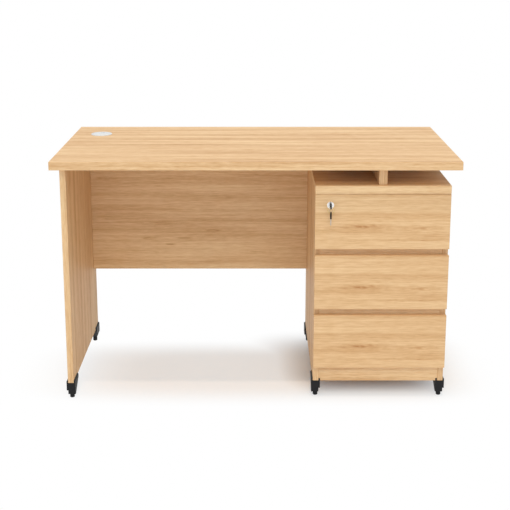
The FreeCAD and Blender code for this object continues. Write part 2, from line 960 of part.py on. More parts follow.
def make_lock_case():
    body = new_body("lock_case")
    bottom = "-lock_case_drop"
    height = "lock_case_drop + case_top"
    ears = new_sketch(body, "XZ_Plane")
    rectangle(ears, "-lock_ear_width / 2", bottom, "lock_ear_width", height)
    pad(body, ears, "lock_sheet")
    shell = new_sketch(body, "XZ_Plane")
    rectangle(shell, "-lock_case_width / 2", bottom, "lock_case_width", height)
    pad(body, shell, "case_depth")
    cavity = new_sketch(body, "XY_Plane", "lock_sheet - lock_case_drop")
    rectangle(
        cavity,
        "-bolt_width / 2 - lock_clearance",
        "lock_sheet",
        "bolt_width + 2 * lock_clearance",
        "case_depth - 2 * lock_sheet",
    )
    pocket(body, cavity, height)
    hole = new_sketch(body, "XZ_Plane")
    circle(hole, "0", "0", "plug_diameter / 2 + running_clearance")
    pocket(body, hole, "lock_sheet")
    place(body, "lock_x", "front_back", "lock_z")
    node(body, "lock_case")


def make_lock_bolt():
    body = new_body("lock_bolt")
    low = "lock_sheet + lock_clearance - lock_case_drop"
    plate = new_sketch(body, "XZ_Plane")
    rectangle(plate, "-bolt_width / 2", low, "bolt_width", "case_top - (" + low + ")")
    pad(body, plate, "bolt_thickness")
    slot = new_sketch(body, "XZ_Plane")
    swing = "bolt_throw / 2 * (sqrt(2) - 1)"
    rectangle(
        slot,
        "-bolt_throw / 2 - pin_diameter / 2 - pin_play - " + swing,
        "-bolt_throw / 2 - pin_diameter / 2 - pin_play",
        "pin_diameter + 2 * pin_play + " + swing,
        "pin_diameter + 2 * pin_play",
    )
    pocket(body, slot, "bolt_thickness")
    place(body, "lock_x", "bolt_front", "lock_z")
    node(body, "lock_bolt")


def make_strike_plate():
    body = new_body("strike_plate")
    plate = new_sketch(body, "XY_Plane")
    rectangle(plate, "-strike_width / 2", "-strike_depth / 2", "strike_width", "strike_depth")
    pad(body, plate, "strike_thickness")
    slot = new_sketch(body, "XY_Plane")
    rectangle(
        slot,
        "-bolt_width / 2 - strike_play",
        "-bolt_thickness / 2 - strike_play",
        "bolt_width + 2 * strike_play",
        "bolt_thickness + 2 * strike_play",
    )
    pocket(body, slot, "strike_thickness")
    place(body, "lock_x", "bolt_front + bolt_thickness / 2", "pedestal_top_underside")
    node(body, "strike_plate")


# Keys: a moulded bow with a hole for the ring, and a steel blade let into it

def make_key(prefix, x, y, z, turn):
    bow = new_body(prefix + "_bow")
    plate = new_sketch(bow, "YZ_Plane", "-bow_thickness / 2")
    rectangle(plate, "-bow_length", "-bow_width / 2", "bow_length", "bow_width")
    blank = pad(bow, plate, "bow_thickness")
    doc.recompute()
    corners = [
        "Edge" + str(index)
        for index, edge in enumerate(blank.Shape.Edges, start=1)
        if abs(edge.tangentAt(edge.FirstParameter).x) > ALONG_SHARE
    ]
    rounding = bow.newObject("PartDesign::Fillet", prefix + "_rounding")
    rounding.Base = (blank, corners)
    bind(rounding, Radius="bow_round")
    hole = new_sketch(bow, "YZ_Plane", "-bow_thickness / 2")
    circle(hole, "bow_hole_inset - bow_length", "0", "bow_hole / 2")
    pocket(bow, hole, "bow_thickness")
    for face in ("-bow_thickness / 2", "bow_thickness / 2 - bow_recess"):
        panel = new_sketch(bow, "YZ_Plane", face)
        rectangle(
            panel,
            "bow_hole_inset + bow_hole / 2 + bow_rim - bow_length",
            "bow_rim - bow_width / 2",
            "bow_length - bow_hole_inset - bow_hole / 2 - 2 * bow_rim",
            "bow_width - 2 * bow_rim",
        )
        pocket(bow, panel, "bow_recess")
    socket = new_sketch(bow, "XZ_Plane", "-bow_socket")
    rectangle(
        socket,
        "-blade_thickness / 2 - running_clearance",
        "-blade_height / 2 - running_clearance",
        "blade_thickness + 2 * running_clearance",
        "blade_height + 2 * running_clearance",
    )
    pocket(bow, socket, "bow_socket")
    place(bow, x, y, z, turn)
    node(bow, prefix + "_bow")

    blade = new_body(prefix + "_blade")
    profile = new_sketch(blade, "YZ_Plane", "-blade_thickness / 2")
    upper = "blade_height / 2"
    points = [
        ("-bow_socket", "-" + upper),
        ("blade_length - blade_height / 2", "-" + upper),
        ("blade_length", "0"),
        ("blade_length - blade_height / 2", upper),
    ]
    for along, deep in BIT_SHARES:
        middle = "blade_length * " + along
        half = "blade_length * " + CUT_SHARE
        points.append((middle + " + " + half, upper))
        points.append((middle, upper + " - blade_height * " + deep))
        points.append((middle + " - " + half, upper))
    points.append(("-bow_socket", upper))
    outline(profile, points)
    pad(blade, profile, "blade_thickness")
    place(blade, x, y, z, turn)
    node(blade, prefix + "_blade")


def make_key_ring():
    ring = doc.addObject("Part::Torus", "key_ring")
    bind(ring, Radius1="ring_diameter / 2", Radius2="ring_wire / 2")
    place(ring, "lock_x", "hole_y", "ring_z", ALONG_Y)
    node(ring, "key_ring")


make_desktop()
make_outlet()
make_leg_panel()
make_modesty_panel()
make_cam_fittings()
make_carcass()
make_pedestal_top()
make_feet()
for drawer in DRAWERS:
    make_runners(drawer)
    make_drawer(drawer)
make_lock_cylinder()
make_lock_plug()
make_lock_case()
make_lock_bolt()
make_strike_plate()
make_key("key", "lock_x", "bow_end", "lock_z", UPWARDS)
make_key("spare_key", "lock_x", "hole_y", "spare_bow_end", HANGING)
make_key_ring()
doc.recompute()

# Every object is sound before anything is written

for thing in doc.Objects:
    if "Invalid" in thing.State or "Error" in thing.State:
        raise RuntimeError(thing.Label + " failed to recompute: " + str(thing.State))
for feature in pockets:
    if feature.Shape.Volume >= feature.BaseFeature.Shape.Volume:
        raise RuntimeError(feature.Label + " cuts nothing")
for thing in nodes:
    if thing.Shape.isNull() or not thing.Shape.isValid():
        raise RuntimeError(thing.Label + " has no sound shape")

os.makedirs("parts", exist_ok=True)
for thing in nodes:
    thing.Shape.exportStep("parts/" + thing.Label + ".step")
    print(thing.Label, len(thing.Shape.Solids), round(thing.Shape.Volume))
print(len(nodes), "nodes")
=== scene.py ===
# %% [markdown]
# A panel-end office desk with a drawer pedestal.
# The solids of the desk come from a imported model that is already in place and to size.
# This lesson gives them their finishes, adds the small hardware that a solid model leaves out,
# and sets up a plain studio round them.

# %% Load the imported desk
import json
import math

import bmesh
import bpy
from mathutils import Matrix, Vector
from mathutils.geometry import delaunay_2d_cdt


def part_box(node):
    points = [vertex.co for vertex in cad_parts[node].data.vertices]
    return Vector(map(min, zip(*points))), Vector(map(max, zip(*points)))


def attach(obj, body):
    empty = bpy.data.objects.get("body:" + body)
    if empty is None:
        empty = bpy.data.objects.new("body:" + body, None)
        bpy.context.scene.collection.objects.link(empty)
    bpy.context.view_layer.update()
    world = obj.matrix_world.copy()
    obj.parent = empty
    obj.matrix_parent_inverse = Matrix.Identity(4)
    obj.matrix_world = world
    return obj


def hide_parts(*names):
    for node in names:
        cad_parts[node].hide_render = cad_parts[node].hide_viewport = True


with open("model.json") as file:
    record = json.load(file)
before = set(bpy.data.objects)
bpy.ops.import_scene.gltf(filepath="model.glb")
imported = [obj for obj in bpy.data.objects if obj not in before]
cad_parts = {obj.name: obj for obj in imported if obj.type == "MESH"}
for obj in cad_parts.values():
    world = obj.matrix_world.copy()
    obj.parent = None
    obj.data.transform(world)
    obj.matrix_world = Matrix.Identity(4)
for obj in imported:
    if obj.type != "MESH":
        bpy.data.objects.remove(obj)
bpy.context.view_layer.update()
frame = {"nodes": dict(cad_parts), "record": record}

MM = 0.001
DRAWERS = (1, 2, 3)
nodes = frame["nodes"]
slot_of = {row["node"]: row["material_slot"] for row in frame["record"]["subparts"]}

# %% [markdown]
# Every finish is a node tree, and a few helpers keep the trees short to read.
# One turns a colour from a paint chart into the linear values that the shader wants.
# One adds a node, sets it and links its inputs in one go. The others use it for sums, vectors,
# ranges, ramps of colour and noise.

# %% Helpers for node trees


def linear(hex_colour):
    """A colour written as sRGB hex, as linear red, green, blue and alpha."""
    channels = [int(hex_colour[i:i + 2], 16) / 255 for i in (1, 3, 5)]
    return [c / 12.92 if c <= 0.04045 else ((c + 0.055) / 1.055) ** 2.4 for c in channels] + [1.0]


def per_metre(*sizes_mm):
    """Scales that make a noise cell as long, wide and deep as these sizes."""
    return [1 / (size * MM) for size in sizes_mm]


def metres(*sizes_mm):
    return [size * MM for size in sizes_mm]


def add(tree, kind, inputs=None, **settings):
    """Add a node, set its properties, then fill or link its inputs."""
    node = tree.nodes.new(kind)
    for key, value in settings.items():
        setattr(node, key, value)
    for key, value in (inputs or {}).items():
        if isinstance(value, bpy.types.NodeSocket):
            tree.links.new(value, node.inputs[key])
        else:
            node.inputs[key].default_value = value
    return node


def number(tree, operation, *values):
    return add(tree, "ShaderNodeMath", dict(enumerate(values)), operation=operation).outputs[0]


def vector(tree, operation, *values):
    """Vector maths, whose result is a number for a length or a dot product."""
    node = add(tree, "ShaderNodeVectorMath", dict(enumerate(values)), operation=operation)
    return node.outputs["Value" if operation in ("LENGTH", "DOT_PRODUCT") else "Vector"]


def remap(tree, value, source, target, smooth=False):
    """Carry a value from one range over to another, and hold it at both ends."""
    inputs = {0: value, 1: source[0], 2: source[1], 3: target[0], 4: target[1]}
    kind = "SMOOTHSTEP" if smooth else "LINEAR"
    return add(tree, "ShaderNodeMapRange", inputs, interpolation_type=kind).outputs[0]


def colour_ramp(tree, value, stops):
    """Colours along a value: stops are positions, each with a colour."""
    ramp = add(tree, "ShaderNodeValToRGB", {0: value})
    elements = ramp.color_ramp.elements
    while len(elements) < len(stops):
        elements.new(0.5)
    for element, (position, colour) in zip(elements, stops):
        element.position = position
        element.color = linear(colour)
    return ramp.outputs[0]


def noise(tree, place, cell, detail, roughness=0.5):
    """Noise whose cells have the given sizes, in mm."""
    scaled = vector(tree, "MULTIPLY", place, per_metre(*cell))
    settings = {"Vector": scaled, "Scale": 1.0, "Detail": detail, "Roughness": roughness}
    return add(tree, "ShaderNodeTexNoise", settings).outputs


def new_material(name):
    material = bpy.data.materials.new(name)
    material.use_nodes = True
    material.node_tree.nodes.clear()
    return material, material.node_tree


def finish_material(tree, shader):
    add(tree, "ShaderNodeOutputMaterial", {"Surface": shader.outputs[0]})


# %% [markdown]
# The boards are melamine-faced chipboard with a printed oak grain.
# The print is laid along each board, so the figure is drawn in a frame of its own whose first axis is
# the grain. Five layers make it up: broad tonal bands, the lines of the growth rings, long streaks,
# short fibres and dark pores. All are noise stretched along the grain, on a slow warp so that no line
# runs dead straight. Near a knot the lines part a little, which is done by drawing the print from a
# place nearer to the knot's middle, and dark specks gather in the knot itself. The ends of a board wear
# an edge band whose print runs along the edge, so there the axes are swapped. A very shallow bump gives
# the pressed fibres of the foil.

# %% Oak melamine
# Positions on the scale of tone, each with the colour of the print there
GRAIN_STOPS = (
    (0.20, "#AA764A"), (0.31, "#C39363"), (0.43, "#D8AF80"), (0.53, "#E6C193"), (0.66, "#F4D4A6")
)
MIDDLE_TONE, MIDDLE_NOISE = 0.5, [0.5, 0.5, 0.5]
# Cells of noise in mm: along the grain, then across it both ways
BANDS, STREAKS, FIBRES = (800, 36, 36), (450, 7.5, 7.5), (34, 2.8, 2.8)
LAYER_WEIGHTS = (0.42, 0.30, 0.28)
SWAY, WARP = (520, 90, 90), 12.0
PORES, PORE_RANGE, PORE_DEPTH = (26, 1.5, 1.5), (0.60, 0.70), 0.06
RING_DRIFT, RING_PITCH, RING_SWAY, RING_WEIGHT = (760, 62, 62), 11.0, 18.0, 0.012
KNOT_CORE, KNOT_FLOW, KNOT_SPREAD = 0.1, 0.15, 2.4
KNOT_SPECKS, SPECK_RANGE, SPECK_STRENGTH = (24, 4.5, 4.5), (0.36, 0.62), (1.6, 0.4)
FIBRE_RANGE, FOIL_ROUGHNESS = (0.3, 0.7), (0.58, 0.46)
FOIL_IOR, FOIL_SHEEN = 1.5, 0.12
FOIL_BUMP, FOIL_BUMP_STRENGTH = 0.1, 0.10
# A face is a board's end where its normal lies this near to the grain
END_FACING = 0.8
# Turns that lay the grain, in degrees
LEVEL, UPRIGHT = (0, 0, 0), (0, 90, 0)


def oak_melamine(name, turn=LEVEL, start=(0, 0, 0), band="y", knots=(), repeat=None, contrast=1.0):
    """Printed oak foil: turn lays the grain, start and repeat place the print, in mm.
    Band is the axis that the print follows on the board's ends. Each knot has a place along the
    board, a height, a length, a width and a depth of tone."""
    material, tree = new_material(name)

    def knot_reach(at, along, height, length, width):
        """The way from a knot's middle, and how far that is in knot sizes."""
        way = vector(tree, "SUBTRACT", at, metres(along, 0, height))
        oval = vector(tree, "MULTIPLY", way, [1 / (length * MM), 0.0, 1 / (width * MM)])
        return way, vector(tree, "LENGTH", oval)

    def turned(source, kind, **offset):
        settings = {"Vector": source, "Rotation": [math.radians(a) for a in turn], **offset}
        return add(tree, "ShaderNodeMapping", settings, vector_type=kind).outputs[0]

    def together(x, y, z):
        return add(tree, "ShaderNodeCombineXYZ", {0: x, 1: y, 2: z}).outputs[0]

    surface = add(tree, "ShaderNodeTexCoord").outputs
    place = turned(surface["Object"], "POINT", Location=metres(*start))
    x, y, z = add(tree, "ShaderNodeSeparateXYZ", {0: place}).outputs
    if repeat:
        z = number(tree, "FLOORED_MODULO", z, repeat * MM)
        place = together(x, y, z)
    along_edge = together(y, x, z) if band == "y" else together(z, y, x)
    facing = add(tree, "ShaderNodeSeparateXYZ", {0: turned(surface["Normal"], "VECTOR")}).outputs[0]
    is_end = number(tree, "GREATER_THAN", number(tree, "ABSOLUTE", facing), END_FACING)
    place = vector(tree, "MULTIPLY_ADD", vector(tree, "SUBTRACT", along_edge, place), is_end, place)

    sway = vector(tree, "SUBTRACT", noise(tree, place, SWAY, detail=2.0)["Color"], MIDDLE_NOISE)
    warped = vector(tree, "MULTIPLY_ADD", sway, metres(0, WARP, WARP), place)
    flowing = warped
    for along, height, length, width, _ in knots:
        way, reach = knot_reach(warped, along, height, length * KNOT_SPREAD, width * KNOT_SPREAD)
        pull = remap(tree, reach, (0.0, 1.0), (-KNOT_FLOW, 0.0), smooth=True)
        way = vector(tree, "MULTIPLY", way, [0.0, 0.0, 1.0])
        pulled = add(tree, "ShaderNodeVectorMath", {0: way, "Scale": pull}, operation="SCALE").outputs[0]
        flowing = vector(tree, "ADD", flowing, pulled)

    bands = noise(tree, flowing, BANDS, detail=2.0)["Fac"]
    streaks = noise(tree, flowing, STREAKS, detail=4.0, roughness=0.62)["Fac"]
    fibres = noise(tree, flowing, FIBRES, detail=2.0)["Fac"]
    pores = noise(tree, flowing, PORES, detail=1.0)["Fac"]
    specks = noise(tree, flowing, KNOT_SPECKS, detail=2.0)["Fac"]
    drift = noise(tree, flowing, RING_DRIFT, detail=1.0)["Fac"]
    turn_per_metre = 2 * math.pi / (RING_PITCH * MM)
    across = vector(tree, "DOT_PRODUCT", flowing, [0, turn_per_metre, turn_per_metre])
    rings = number(tree, "SINE", number(tree, "MULTIPLY_ADD", drift, RING_SWAY, across))

    tone = number(tree, "MULTIPLY_ADD", rings, RING_WEIGHT, MIDDLE_TONE * (1 - sum(LAYER_WEIGHTS)))
    for source, weight in zip((bands, streaks, fibres), LAYER_WEIGHTS):
        tone = number(tree, "MULTIPLY_ADD", source, weight, tone)
    specks = remap(tree, specks, SPECK_RANGE, SPECK_STRENGTH)
    for along, height, length, width, depth in knots:
        _, reach = knot_reach(warped, along, height, length, width)
        knot = remap(tree, reach, (KNOT_CORE, 1.0), (-depth, 0.0), smooth=True)
        tone = number(tree, "MULTIPLY_ADD", knot, specks, tone)
    tone = number(tree, "ADD", tone, remap(tree, pores, PORE_RANGE, (0.0, -PORE_DEPTH)))
    tone = number(tree, "MULTIPLY_ADD", tone, contrast, MIDDLE_TONE * (1 - contrast))

    pressed = {"Height": fibres, "Strength": FOIL_BUMP_STRENGTH, "Distance": FOIL_BUMP * MM}
    look = {
        "Base Color": colour_ramp(tree, tone, GRAIN_STOPS),
        "Roughness": remap(tree, fibres, FIBRE_RANGE, FOIL_ROUGHNESS),
        "Normal": add(tree, "ShaderNodeBump", pressed).outputs[0],
        "IOR": FOIL_IOR,
        "Specular IOR Level": FOIL_SHEEN,
    }
    finish_material(tree, add(tree, "ShaderNodeBsdfPrincipled", look))
    return material


# All three drawer fronts wear the same print, one pitch apart
FRONT_PITCH = 188.0
front_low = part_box("drawer_front_3")[0] / MM
front_print = oak_melamine(
    "oak_melamine_drawer_fronts",
    start=(-front_low.x, 822, -front_low.z),
    band="z",
    repeat=FRONT_PITCH,
    knots=(
        (230, 66, 300, 26, 0.02),
        (150, 70, 95, 17, 0.06),
        (142, 69, 22, 7, 0.08),
        (170, 72, 40, 7, 0.06),
        (112, 72, 44, 7, 0.05),
        (208, 64, 44, 6, 0.05),
        (330, 64, 110, 8, 0.07),
        (300, 27, 150, 10, 0.06),
        (70, 66, 60, 7, 0.04),
        (70, 34, 80, 7, 0.03),
    ),
    contrast=0.80,
)
modesty_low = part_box("modesty_panel")[0] / MM
modesty_print = oak_melamine(
    "oak_melamine_modesty_panel",
    start=(-modesty_low.x, 302, -modesty_low.z),
    band="z",
    knots=(
        (193, 111, 34, 7, 0.13),
        (263, 87, 30, 6, 0.15),
        (312, 109, 40, 6, 0.10),
        (406, 137, 60, 7, 0.10),
        (52, 319, 50, 8, 0.12),
        (225, 160, 90, 10, 0.07),
        (560, 60, 90, 8, 0.10),
    ),
    contrast=0.98,
)
OAK_BOARDS = {
    "modesty_panel": modesty_print,
    "desktop": oak_melamine("oak_melamine_desktop", start=(370, 415, 655), contrast=1.1),
}
for drawer in DRAWERS:
    OAK_BOARDS["drawer_front_%d" % drawer] = front_print
# Boards without a marked knot: how the grain lies, where the print starts, the axis of the edge band
PLAIN_BOARDS = {
    "leg_panel": (UPRIGHT, (120, 40, 310), "y"),
    "pedestal_side_left": (UPRIGHT, (930, 75, 520), "y"),
    "pedestal_side_right": (UPRIGHT, (1830, 15, 150), "y"),
    "pedestal_back": (UPRIGHT, (2410, 95, 60), "y"),
    "spacer_board": (UPRIGHT, (640, 35, 25), "y"),
    "pedestal_top": (LEVEL, (1210, 55, 83), "y"),
    "pedestal_bottom": (LEVEL, (1710, 22, 61), "y"),
    "plinth": (LEVEL, (2215, 31, 47), "z"),
    "rail_upper": (LEVEL, (2640, 12, 93), "z"),
    "rail_lower": (LEVEL, (3140, 66, 29), "z"),
}
for name, (lie, start, band) in PLAIN_BOARDS.items():
    OAK_BOARDS[name] = oak_melamine("oak_melamine_" + name, lie, start, band)
print(len(OAK_BOARDS), "oak boards")

# %% [markdown]
# The other finishes are plainer, but none is a flat colour.
# Moulded plastic has a fine spark-eroded grit, rolled and plated steel has faint streaks along the
# strip, and the plated lock and the keys carry light handling marks that change the gloss.
# One function covers them: two colours to vary between, a grit size, a range of roughness, a bump,
# how metallic the surface is and how much sheen it has.

# %% Plastics, metals and the drawer boards
GRIT_STOPS, GRIT_RANGE, GRIT_DETAIL = (0.35, 0.65), (0.3, 0.7), 3.0
GRIT_BUMP_STRENGTH = 0.3


def hard_finish(name, colours, cell, roughness, bump, metallic=0.0, sheen=0.5):
    """A hard surface whose colour and gloss vary with a noise of the given cell, in mm."""
    material, tree = new_material(name)
    place = add(tree, "ShaderNodeTexCoord").outputs["Object"]
    grit = noise(tree, place, cell, GRIT_DETAIL)["Fac"]
    relief = {"Height": grit, "Strength": GRIT_BUMP_STRENGTH, "Distance": bump * MM}
    look = {
        "Base Color": colour_ramp(tree, grit, list(zip(GRIT_STOPS, colours))),
        "Roughness": remap(tree, grit, GRIT_RANGE, roughness),
        "Normal": add(tree, "ShaderNodeBump", relief).outputs[0],
        "Metallic": metallic,
        "Specular IOR Level": sheen,
    }
    finish_material(tree, add(tree, "ShaderNodeBsdfPrincipled", look))
    return material


FINISHES = {
    # Pale grey melamine with a faint linen print: matt, slightly uneven in tone
    "drawer_board": hard_finish(
        "grey_melamine", ("#D2CFC8", "#DEDBD4"),
        cell=(2.5, 2.5, 2.5), roughness=(0.44, 0.52), bump=0.05,
    ),
    # Black ABS from a spark-eroded mould: deep colour, dull grit
    "black_plastic": hard_finish(
        "black_abs", ("#161617", "#212122"),
        cell=(0.9, 0.9, 0.9), roughness=(0.46, 0.60), bump=0.10, sheen=0.22,
    ),
    # Pale grey ABS, smoother than the feet
    "grey_plastic": hard_finish(
        "grey_abs", ("#D3D7D9", "#E0E3E4"),
        cell=(1.2, 1.2, 1.2), roughness=(0.36, 0.46), bump=0.04,
    ),
    # Cold-rolled steel strip, zinc plated: streaks along the strip, bluish grey
    "zinc_steel": hard_finish(
        "zinc_plated_steel", ("#A9AEB3", "#C3C7CA"),
        cell=(2.0, 70, 2.0), roughness=(0.26, 0.42), bump=0.02, metallic=1.0,
    ),
    # Zinc die casting, nickel plated: bright, with slight handling marks
    "nickel": hard_finish(
        "nickel_plate", ("#F2F1EF", "#FBFAF8"),
        cell=(3.0, 3.0, 3.0), roughness=(0.24, 0.32), bump=0.01, metallic=1.0,
    ),
    # Stamped nickel silver: satin from the cutter
    "key_steel": hard_finish(
        "nickel_silver", ("#B9B7B2", "#CDCBC6"),
        cell=(0.7, 4.0, 4.0), roughness=(0.24, 0.38), bump=0.02, metallic=1.0,
    ),
    # Drawn brass wire: warm and bright
    "brass_wire": hard_finish(
        "drawn_brass", ("#E4CB6C", "#F1DE8A"),
        cell=(1.0, 1.0, 1.0), roughness=(0.20, 0.32), bump=0.01, metallic=1.0,
    ),
}
for name, node in nodes.items():
    finish = OAK_BOARDS.get(name) or FINISHES[slot_of[name]]
    for material_slot in node.material_slots:
        material_slot.material = finish
print(len(FINISHES), "other finishes")

# %% [markdown]
# Screws, cam discs and buffers repeat all over such a desk, so each kind is modelled once.
# A head with a cross recess is a triangulated disc: the outline of the cross is part of the
# triangulation, the disc is raised into a dome, and the cross is sunk with walls and a floor.
# It is one unit across, so that the rows below can set its real diameter.

# %% A head with a cross recess
SHARP_ANGLE = 35
HEAD_RINGS = (0.5, 0.45, 0.36)
MERGE_DISTANCE = 1e-5


def pattern_piece(name, shape):
    """Turn a pattern's faces outwards, smooth it and keep it as an object to copy."""
    bmesh.ops.recalc_face_normals(shape, faces=shape.faces)
    mesh = bpy.data.meshes.new(name)
    shape.to_mesh(mesh)
    shape.free()
    mesh.polygons.foreach_set("use_smooth", [True] * len(mesh.polygons))
    mesh.set_sharp_from_angle(angle=math.radians(SHARP_ANGLE))
    piece = bpy.data.objects.new(name, mesh)
    bpy.context.scene.collection.objects.link(piece)
    return piece


def circle_points(radius, sides):
    steps = [2 * math.pi * step / sides for step in range(sides)]
    return [Vector((radius * math.cos(a), radius * math.sin(a))) for a in steps]


def recessed_head(name, height, dome, arm, half, depth, sides=28):
    """A round head, one unit across and standing on z = 0, with a cross sunk into its top."""
    quarter = [(arm, -half), (arm, half), (half, half)]
    cross = []
    for step in range(4):
        turn = Matrix.Rotation(step * math.pi / 2, 2)
        cross += [turn @ Vector(point) for point in quarter]
    rings = [point for radius in HEAD_RINGS for point in circle_points(radius, sides)]
    first = len(rings)
    edges = [(first + i, first + (i + 1) % len(cross)) for i in range(len(cross))]
    flat, _, triangles, _, _, _ = delaunay_2d_cdt(rings + cross, edges, [], 0, MERGE_DISTANCE)

    def in_cross(spot):
        wide, tall = abs(spot.x), abs(spot.y)
        return (wide < arm and tall < half) or (wide < half and tall < arm)

    def dome_height(spot):
        return height + dome * (1 - (2 * spot.length) ** 2)

    shape = bmesh.new()
    top = [shape.verts.new((spot.x, spot.y, dome_height(spot))) for spot in flat]
    sunk = {}
    for i in range(first, first + len(cross)):
        sunk[i] = shape.verts.new((flat[i].x, flat[i].y, height + dome - depth))
    for triangle in triangles:
        middle = sum((flat[i] for i in triangle), Vector((0, 0))) / 3
        level = sunk if in_cross(middle) else top
        shape.faces.new([level[i] for i in triangle])
    for a, b in edges:
        shape.faces.new([top[a], top[b], sunk[b], sunk[a]])
    foot = [shape.verts.new((flat[i].x, flat[i].y, 0)) for i in range(sides)]
    for i in range(sides):
        after = (i + 1) % sides
        shape.faces.new([foot[i], foot[after], top[after], top[i]])
    shape.faces.new(foot)
    return pattern_piece(name, shape)


screw_head = recessed_head("pan_head_pattern", height=0.10, dome=0.20, arm=0.27, half=0.06, depth=0.16)
cam_disc = recessed_head("cam_disc_pattern", height=0.865, dome=0.0, arm=0.33, half=0.07, depth=0.22)
print(len(screw_head.data.polygons), "faces in a screw head")

# %% [markdown]
# The bolts of the cam fittings and the buffers behind the drawer fronts are turned shapes.
# A turned shape is a profile of radius against height, carried round the axis and capped.
# These too are one unit across.

# %% Turned patterns


def turned_pattern(name, profile, sides=20):
    shape = bmesh.new()
    rings = []
    for radius, height in profile:
        rings.append([shape.verts.new((p.x, p.y, height)) for p in circle_points(radius, sides)])
    for low, high in zip(rings, rings[1:]):
        for i in range(sides):
            after = (i + 1) % sides
            shape.faces.new([low[i], low[after], high[after], high[i]])
    shape.faces.new(rings[0])
    shape.faces.new(rings[-1])
    return pattern_piece(name, shape)


BOLT_DIAMETER, BOLT_LENGTH, BOLT_ANCHOR = 6.0, 43.0, 11.0
BOLT_TIP, BOLT_NECK, BOLT_FULL, THREAD_CORE = 0.36, 0.33, 0.5, 0.40
THREAD_TURNS, RIDGE_FOOT, RIDGE_RISE = 8, 0.2, 0.4
# Heights above the tip of the collar's two edges and of the neck's start
COLLAR_LOW, COLLAR_HIGH, NECK_LOW = 1.85, 2.1, 2.2
# Depths below the end of the neck's end and of the ball's two edges
NECK_HIGH, BALL_LOW, BALL_HIGH = 0.7, 0.55, 0.2
BUFFER_PROFILE = ((0.47, 0.0), (0.5, 0.02), (0.48, 0.07), (0.40, 0.115), (0.26, 0.14), (0.10, 0.15))
turn_height = BOLT_ANCHOR / BOLT_DIAMETER / THREAD_TURNS
bolt_end = BOLT_LENGTH / BOLT_DIAMETER
bolt_profile = [(BOLT_TIP, 0.0)]
for ridge in range(THREAD_TURNS):
    base = turn_height * (ridge + RIDGE_FOOT)
    bolt_profile += [(THREAD_CORE, base), (BOLT_FULL, base + turn_height * RIDGE_RISE)]
bolt_profile += [(BOLT_FULL, COLLAR_LOW), (BOLT_FULL, COLLAR_HIGH)]
bolt_profile += [(BOLT_NECK, NECK_LOW), (BOLT_NECK, bolt_end - NECK_HIGH)]
bolt_profile += [(BOLT_FULL, bolt_end - BALL_LOW), (BOLT_FULL, bolt_end - BALL_HIGH), (BOLT_TIP, bolt_end)]
cam_bolt = turned_pattern("cam_bolt_pattern", bolt_profile, sides=16)
buffer = turned_pattern("buffer_pattern", BUFFER_PROFILE)
patterns = (screw_head, cam_disc, cam_bolt, buffer)
print(len(patterns), "patterns")

# %% [markdown]
# Geometry Nodes set a pattern on every seat.
# A seat is a loose point with a direction stored on it. The tree turns the pattern's axis to that
# direction, scales it to the diameter, makes the copies real and gives them their finish.
# The result is turned into a plain mesh, one for each body that carries it.

# %% Patterns on seats


def new_tree(name, inputs):
    tree = bpy.data.node_groups.new(name, "GeometryNodeTree")
    keys = {}
    for label, kind in inputs:
        keys[label] = tree.interface.new_socket(label, in_out="INPUT", socket_type=kind).identifier
    tree.interface.new_socket("Geometry", in_out="OUTPUT", socket_type="NodeSocketGeometry")
    return tree, keys, add(tree, "NodeGroupInput").outputs


def finish_tree(tree, shape, finish):
    """End a tree: make copies real, give them their finish and hand them out."""
    real = add(tree, "GeometryNodeRealizeInstances", {"Geometry": shape.outputs[0]})
    painted = {"Geometry": real.outputs[0], "Material": finish}
    painted = add(tree, "GeometryNodeSetMaterial", painted)
    add(tree, "NodeGroupOutput", {"Geometry": painted.outputs[0]})


def plain_piece(name, mesh, tree, values):
    """Run a tree on a mesh and keep the result as a plain mesh at the origin."""
    piece = bpy.data.objects.new(name, mesh)
    bpy.context.scene.collection.objects.link(piece)
    modifier = piece.modifiers.new("shape", "NODES")
    modifier.node_group = tree
    for key, value in values.items():
        modifier[key] = value
    view = bpy.context.evaluated_depsgraph_get()
    plain = bpy.data.meshes.new_from_object(piece.evaluated_get(view))
    piece.modifiers.remove(modifier)
    piece.data = plain
    return piece


seat_tree, seat_keys, given = new_tree(
    "patterns_on_seats",
    (
        ("Seats", "NodeSocketGeometry"),
        ("Pattern", "NodeSocketObject"),
        ("Diameter", "NodeSocketFloat"),
        ("Finish", "NodeSocketMaterial"),
    ),
)
facing = add(seat_tree, "GeometryNodeInputNamedAttribute", {"Name": "facing"}, data_type="FLOAT_VECTOR")
facing = {"Vector": facing.outputs["Attribute"]}
turn = add(seat_tree, "FunctionNodeAlignRotationToVector", facing, axis="Z")
pattern = add(seat_tree, "GeometryNodeObjectInfo", {"Object": given["Pattern"]})
points = add(seat_tree, "GeometryNodeMeshToPoints", {"Mesh": given["Seats"]})
copies = add(
    seat_tree,
    "GeometryNodeInstanceOnPoints",
    {
        "Points": points.outputs[0],
        "Instance": pattern.outputs["Geometry"],
        "Rotation": turn.outputs[0],
        "Scale": given["Diameter"],
    },
)
finish_tree(seat_tree, copies, given["Finish"])


def seated(name, body, pattern, diameter, seats, finish):
    """A row of patterns: seats are points in mm, each with the way that it faces."""
    mesh = bpy.data.meshes.new(name)
    mesh.from_pydata([metres(*point) for point, _ in seats], [], [])
    ways = mesh.attributes.new("facing", "FLOAT_VECTOR", "POINT")
    for item, (_, way) in zip(ways.data, seats):
        item.vector = way
    values = {
        seat_keys["Pattern"]: pattern,
        seat_keys["Diameter"]: diameter * MM,
        seat_keys["Finish"]: finish,
    }
    piece = plain_piece(name, mesh, seat_tree, values)
    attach(piece, body)
    print(name, len(seats), "seats,", len(piece.data.polygons), "faces")
    return piece


LEFT, RIGHT, REAR, DOWN = (-1, 0, 0), (1, 0, 0), (0, 1, 0), (0, 0, -1)

